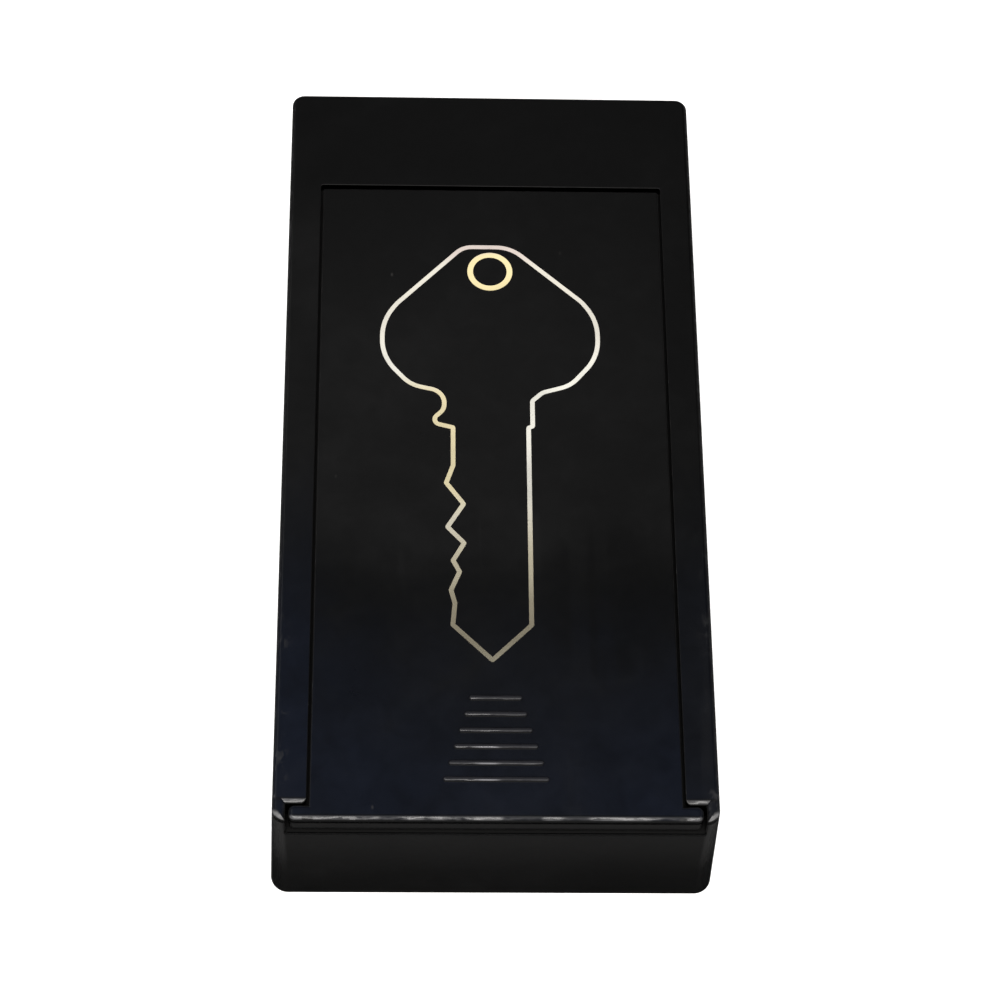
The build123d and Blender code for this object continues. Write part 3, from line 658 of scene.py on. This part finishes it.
# ------------------------------------------------------------- soft pieces
def soft_sheet(name, node, corner, edge, step, seed, crown, dents=()):
    """A die-cut sheet of foam in a node's space: rounded rim, sides that belly
    out a little, a top that is never quite flat."""
    low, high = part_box(node)
    cx, cy = (low.x + high.x) / 2, (low.y + high.y) / 2
    hx, hy = (high.x - low.x) / 2, (high.y - low.y) / 2
    thick = high.z - low.z
    nx, ny = max(6, round(2 * hx / step)), max(6, round(2 * hy / step))

    def to_rounded(u, v, inset):
        """Square grid point to a point of the rounded outline, inset."""
        ax, ay = hx - inset, hy - inset
        x, y = u * ax, v * ay
        r = max(corner - inset, 0.0002)
        ox, oy = abs(x) - (ax - r), abs(y) - (ay - r)
        if ox > 0 and oy > 0:
            # pull the square corner in to the arc
            length = math.hypot(ox, oy)
            most = max(ox, oy)
            k = most / length if length else 1.0
            x = math.copysign(ax - r + ox * k, x)
            y = math.copysign(ay - r + oy * k, y)
        return x, y

    def spaced(i, n):
        t = -1 + 2 * i / n
        return t

    # profile of the rim, from the top edge round to the bottom edge
    levels = []
    rim = 5
    for k in range(rim + 1):
        a = math.pi / 2 * k / rim
        levels.append((edge * (1 - math.sin(a)), -edge * (1 - math.cos(a))))
    levels.append((-0.00004, -thick * 0.5))
    for k in range(rim + 1):
        a = math.pi / 2 * k / rim
        levels.append(
            (edge * 0.6 * (1 - math.cos(a)), -thick + edge * 0.6 * (1 - math.sin(a)))
        )

    bm = bmesh.new()

    def height(x, y):
        p = Vector((x * 120 + seed, y * 120, 0.3))
        h = 0.00009 * noise.noise(p) + 0.00004 * noise.noise(p * 3.1)
        edge_near = min(hx - abs(x), hy - abs(y))
        h -= crown * max(0.0, 1 - edge_near / 0.004) ** 2
        for dx, dy, rx, ry, turn, depth in dents:
            qx = (x - dx) * math.cos(turn) + (y - dy) * math.sin(turn)
            qy = (y - dy) * math.cos(turn) - (x - dx) * math.sin(turn)
            d = math.hypot(qx / rx, qy / ry)
            if d < 1.6:
                h -= depth * max(0.0, 1 - (d / 1.6) ** 2) ** 1.5
        return h

    top, bottom = {}, {}
    for i in range(nx + 1):
        for j in range(ny + 1):
            x, y = to_rounded(spaced(i, nx), spaced(j, ny), edge)
            top[i, j] = bm.verts.new((cx + x, cy + y, high.z - 0.00012 + height(x, y)))
            x, y = to_rounded(spaced(i, nx), spaced(j, ny), edge * 0.6)
            bottom[i, j] = bm.verts.new((cx + x, cy + y, low.z))
    for i in range(nx):
        for j in range(ny):
            bm.faces.new((top[i, j], top[i + 1, j], top[i + 1, j + 1], top[i, j + 1]))
            bm.faces.new(
                (bottom[i, j], bottom[i, j + 1], bottom[i + 1, j + 1], bottom[i + 1, j])
            )
    ring = (
        [(i, 0) for i in range(nx)]
        + [(nx, j) for j in range(ny)]
        + [(i, ny) for i in range(nx, 0, -1)]
        + [(0, j) for j in range(ny, 0, -1)]
    )
    rows = [[top[k] for k in ring]]
    for inset, drop in levels[1:-1]:
        row = []
        for i, j in ring:
            x, y = to_rounded(spaced(i, nx), spaced(j, ny), max(inset, -0.0001))
            share = 1 + drop / thick
            z = high.z - 0.00012 + drop * (thick - 0.00012) / thick
            z += height(*to_rounded(spaced(i, nx), spaced(j, ny), edge)) * max(share, 0)
            row.append(bm.verts.new((cx + x, cy + y, z)))
        rows.append(row)
    rows.append([bottom[k] for k in ring])
    count = len(ring)
    for a, b in zip(rows, rows[1:]):
        for k in range(count):
            bm.faces.new((a[k], b[k], b[(k + 1) % count], a[(k + 1) % count]))
    bmesh.ops.recalc_face_normals(bm, faces=bm.faces[:])
    mesh = bpy.data.meshes.new(name)
    bm.to_mesh(mesh)
    bm.free()
    for p in mesh.polygons:
        p.use_smooth = True
    obj = bpy.data.objects.new(name, mesh)
    bpy.context.scene.collection.objects.link(obj)
    sub = obj.modifiers.new("smooth", "SUBSURF")
    sub.levels = sub.render_levels = 1
    return obj


liner = soft_sheet(
    "foam_liner_pad",
    "foam_liner",
    corner=1.7 * MM,
    edge=0.35 * MM,
    step=1.3 * MM,
    seed=3.7,
    crown=0.00010,
    dents=(
        (0.002, 0.012, 0.0105, 0.0115, 0.2, 0.00085),
        (0.0035, -0.012, 0.0042, 0.018, 0.12, 0.00070),
    ),
)
liner.data.materials.append(liner_mat)
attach(liner, "case")
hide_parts("foam_liner")

for end, seed in (("front", 11.0), ("rear", 17.0)):
    tape = soft_sheet(
        f"mounting_tape_{end}_pad",
        f"mounting_tape_{end}",
        corner=0.6 * MM,
        edge=0.10 * MM,
        step=1.6 * MM,
        seed=seed,
        crown=0.0,
    )
    tape.data.materials.append(tape_mat)
    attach(tape, "case")
    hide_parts(f"mounting_tape_{end}")


# ------------------------------------------------------------------ the stage
def floor_material():
    g = Graph("pale_floor")
    # a white sheet lit from below as well, like a light table
    g.bsdf.inputs["Base Color"].default_value = (0.62, 0.62, 0.62, 1)
    g.bsdf.inputs["Roughness"].default_value = 0.8
    g.bsdf.inputs["Specular IOR Level"].default_value = 0.0
    g.bsdf.inputs["Emission Color"].default_value = (1.0, 1.0, 1.0, 1)
    g.bsdf.inputs["Emission Strength"].default_value = 0.50
    return g.mat


mesh = bpy.data.meshes.new("floor")
bm = bmesh.new()
half = 3.0
corners = [
    bm.verts.new((x, y, 0.0))
    for x, y in ((-half, -half), (half, -half), (half, half), (-half, half))
]
bm.faces.new(corners)
bm.to_mesh(mesh)
bm.free()
floor = bpy.data.objects.new("floor", mesh)
bpy.context.scene.collection.objects.link(floor)
floor.data.materials.append(floor_material())
floor.visible_glossy = False


def toward(forward_deg, across_deg=0.0):
    """Unit vector: forward_deg from straight up towards the front of the box,
    across_deg to its right."""
    a, b = math.radians(forward_deg), math.radians(across_deg)
    return Vector(
        (math.sin(b), -math.sin(a) * math.cos(b), math.cos(a) * math.cos(b))
    )


# the key light, a very wide soft source in front of the box and above it
# and a weaker one on either side
for name, direction, angle, energy in (
    ("key_softbox", KEY_DIR, KEY_ANGLE, KEY_ENERGY),
    *SIDE_LIGHTS,
):
    lamp = bpy.data.lights.new(name, "SUN")
    lamp.energy = energy
    lamp.angle = math.radians(angle)
    lamp.color = KEY_COLOUR
    lamp_obj = bpy.data.objects.new(name, lamp)
    bpy.context.scene.collection.objects.link(lamp_obj)
    turned = toward(*direction).to_track_quat("Z", "Y")
    lamp_obj.matrix_world = turned.to_matrix().to_4x4()

# the rest of the studio: a dark ceiling, paler walls, a cool soft light over
# the box and a small warm one behind it
world = bpy.data.worlds.new("studio")
bpy.context.scene.world = world
world.use_nodes = True
wt = world.node_tree
wt.nodes.clear()
w_out = wt.nodes.new("ShaderNodeOutputWorld")
w_coord = wt.nodes.new("ShaderNodeTexCoord")
w_sep = wt.nodes.new("ShaderNodeSeparateXYZ")
wt.links.new(w_coord.outputs["Generated"], w_sep.inputs[0])
w_ramp = wt.nodes.new("ShaderNodeValToRGB")
w_map = wt.nodes.new("ShaderNodeMapRange")
w_map.inputs["From Min"].default_value = -1.0
w_map.inputs["From Max"].default_value = 1.0
wt.links.new(w_sep.outputs["Z"], w_map.inputs["Value"])
wt.links.new(w_map.outputs["Result"], w_ramp.inputs["Fac"])
ramp = w_ramp.color_ramp
ramp.interpolation = "EASE"
while len(ramp.elements) > 1:
    ramp.elements.remove(ramp.elements[-1])
for i, (z, level) in enumerate(RAMP):
    e = ramp.elements[0] if i == 0 else ramp.elements.new((z + 1) / 2)
    e.position = (z + 1) / 2
    e.color = (level, level, level * 1.02, 1)


def spot(direction, inner_deg, outer_deg, colour):
    """A round soft light painted on the studio's dome."""
    dot = wt.nodes.new("ShaderNodeVectorMath")
    dot.operation = "DOT_PRODUCT"
    wt.links.new(w_coord.outputs["Generated"], dot.inputs[0])
    dot.inputs[1].default_value = direction
    rng = wt.nodes.new("ShaderNodeMapRange")
    rng.interpolation_type = "SMOOTHSTEP"
    wt.links.new(dot.outputs["Value"], rng.inputs["Value"])
    rng.inputs["From Min"].default_value = math.cos(math.radians(outer_deg))
    rng.inputs["From Max"].default_value = math.cos(math.radians(inner_deg))
    col = wt.nodes.new("ShaderNodeVectorMath")
    col.operation = "SCALE"
    col.inputs[0].default_value = colour
    wt.links.new(rng.outputs["Result"], col.inputs["Scale"])
    return col.outputs["Vector"]


# dark towards the front, near the horizon
w_front = wt.nodes.new("ShaderNodeMapRange")
w_front.interpolation_type = "SMOOTHSTEP"
wt.links.new(w_sep.outputs["Y"], w_front.inputs["Value"])
w_front.inputs["From Min"].default_value = -0.84
w_front.inputs["From Max"].default_value = -0.56
w_front.inputs["To Min"].default_value = FRONT_DARK
w_front.inputs["To Max"].default_value = 1.0
w_dim = wt.nodes.new("ShaderNodeVectorMath")
w_dim.operation = "SCALE"
wt.links.new(w_ramp.outputs["Color"], w_dim.inputs[0])
wt.links.new(w_front.outputs["Result"], w_dim.inputs["Scale"])

total = w_dim.outputs["Vector"]
for light in SPOTS:
    add = wt.nodes.new("ShaderNodeVectorMath")
    add.operation = "ADD"
    wt.links.new(total, add.inputs[0])
    wt.links.new(spot(toward(*light[0]), *light[1:]), add.inputs[1])
    total = add.outputs["Vector"]
w_light = wt.nodes.new("ShaderNodeBackground")
wt.links.new(total, w_light.inputs["Color"])
w_white = wt.nodes.new("ShaderNodeBackground")
w_white.inputs["Color"].default_value = (1.0, 1.0, 1.0, 1)
w_path = wt.nodes.new("ShaderNodeLightPath")
w_mix = wt.nodes.new("ShaderNodeMixShader")
wt.links.new(w_path.outputs["Is Camera Ray"], w_mix.inputs["Fac"])
wt.links.new(w_light.outputs[0], w_mix.inputs[1])
wt.links.new(w_white.outputs[0], w_mix.inputs[2])
wt.links.new(w_mix.outputs[0], w_out.inputs["Surface"])

bpy.context.scene.view_settings.view_transform = "Standard"
bpy.context.scene.view_settings.look = "None"
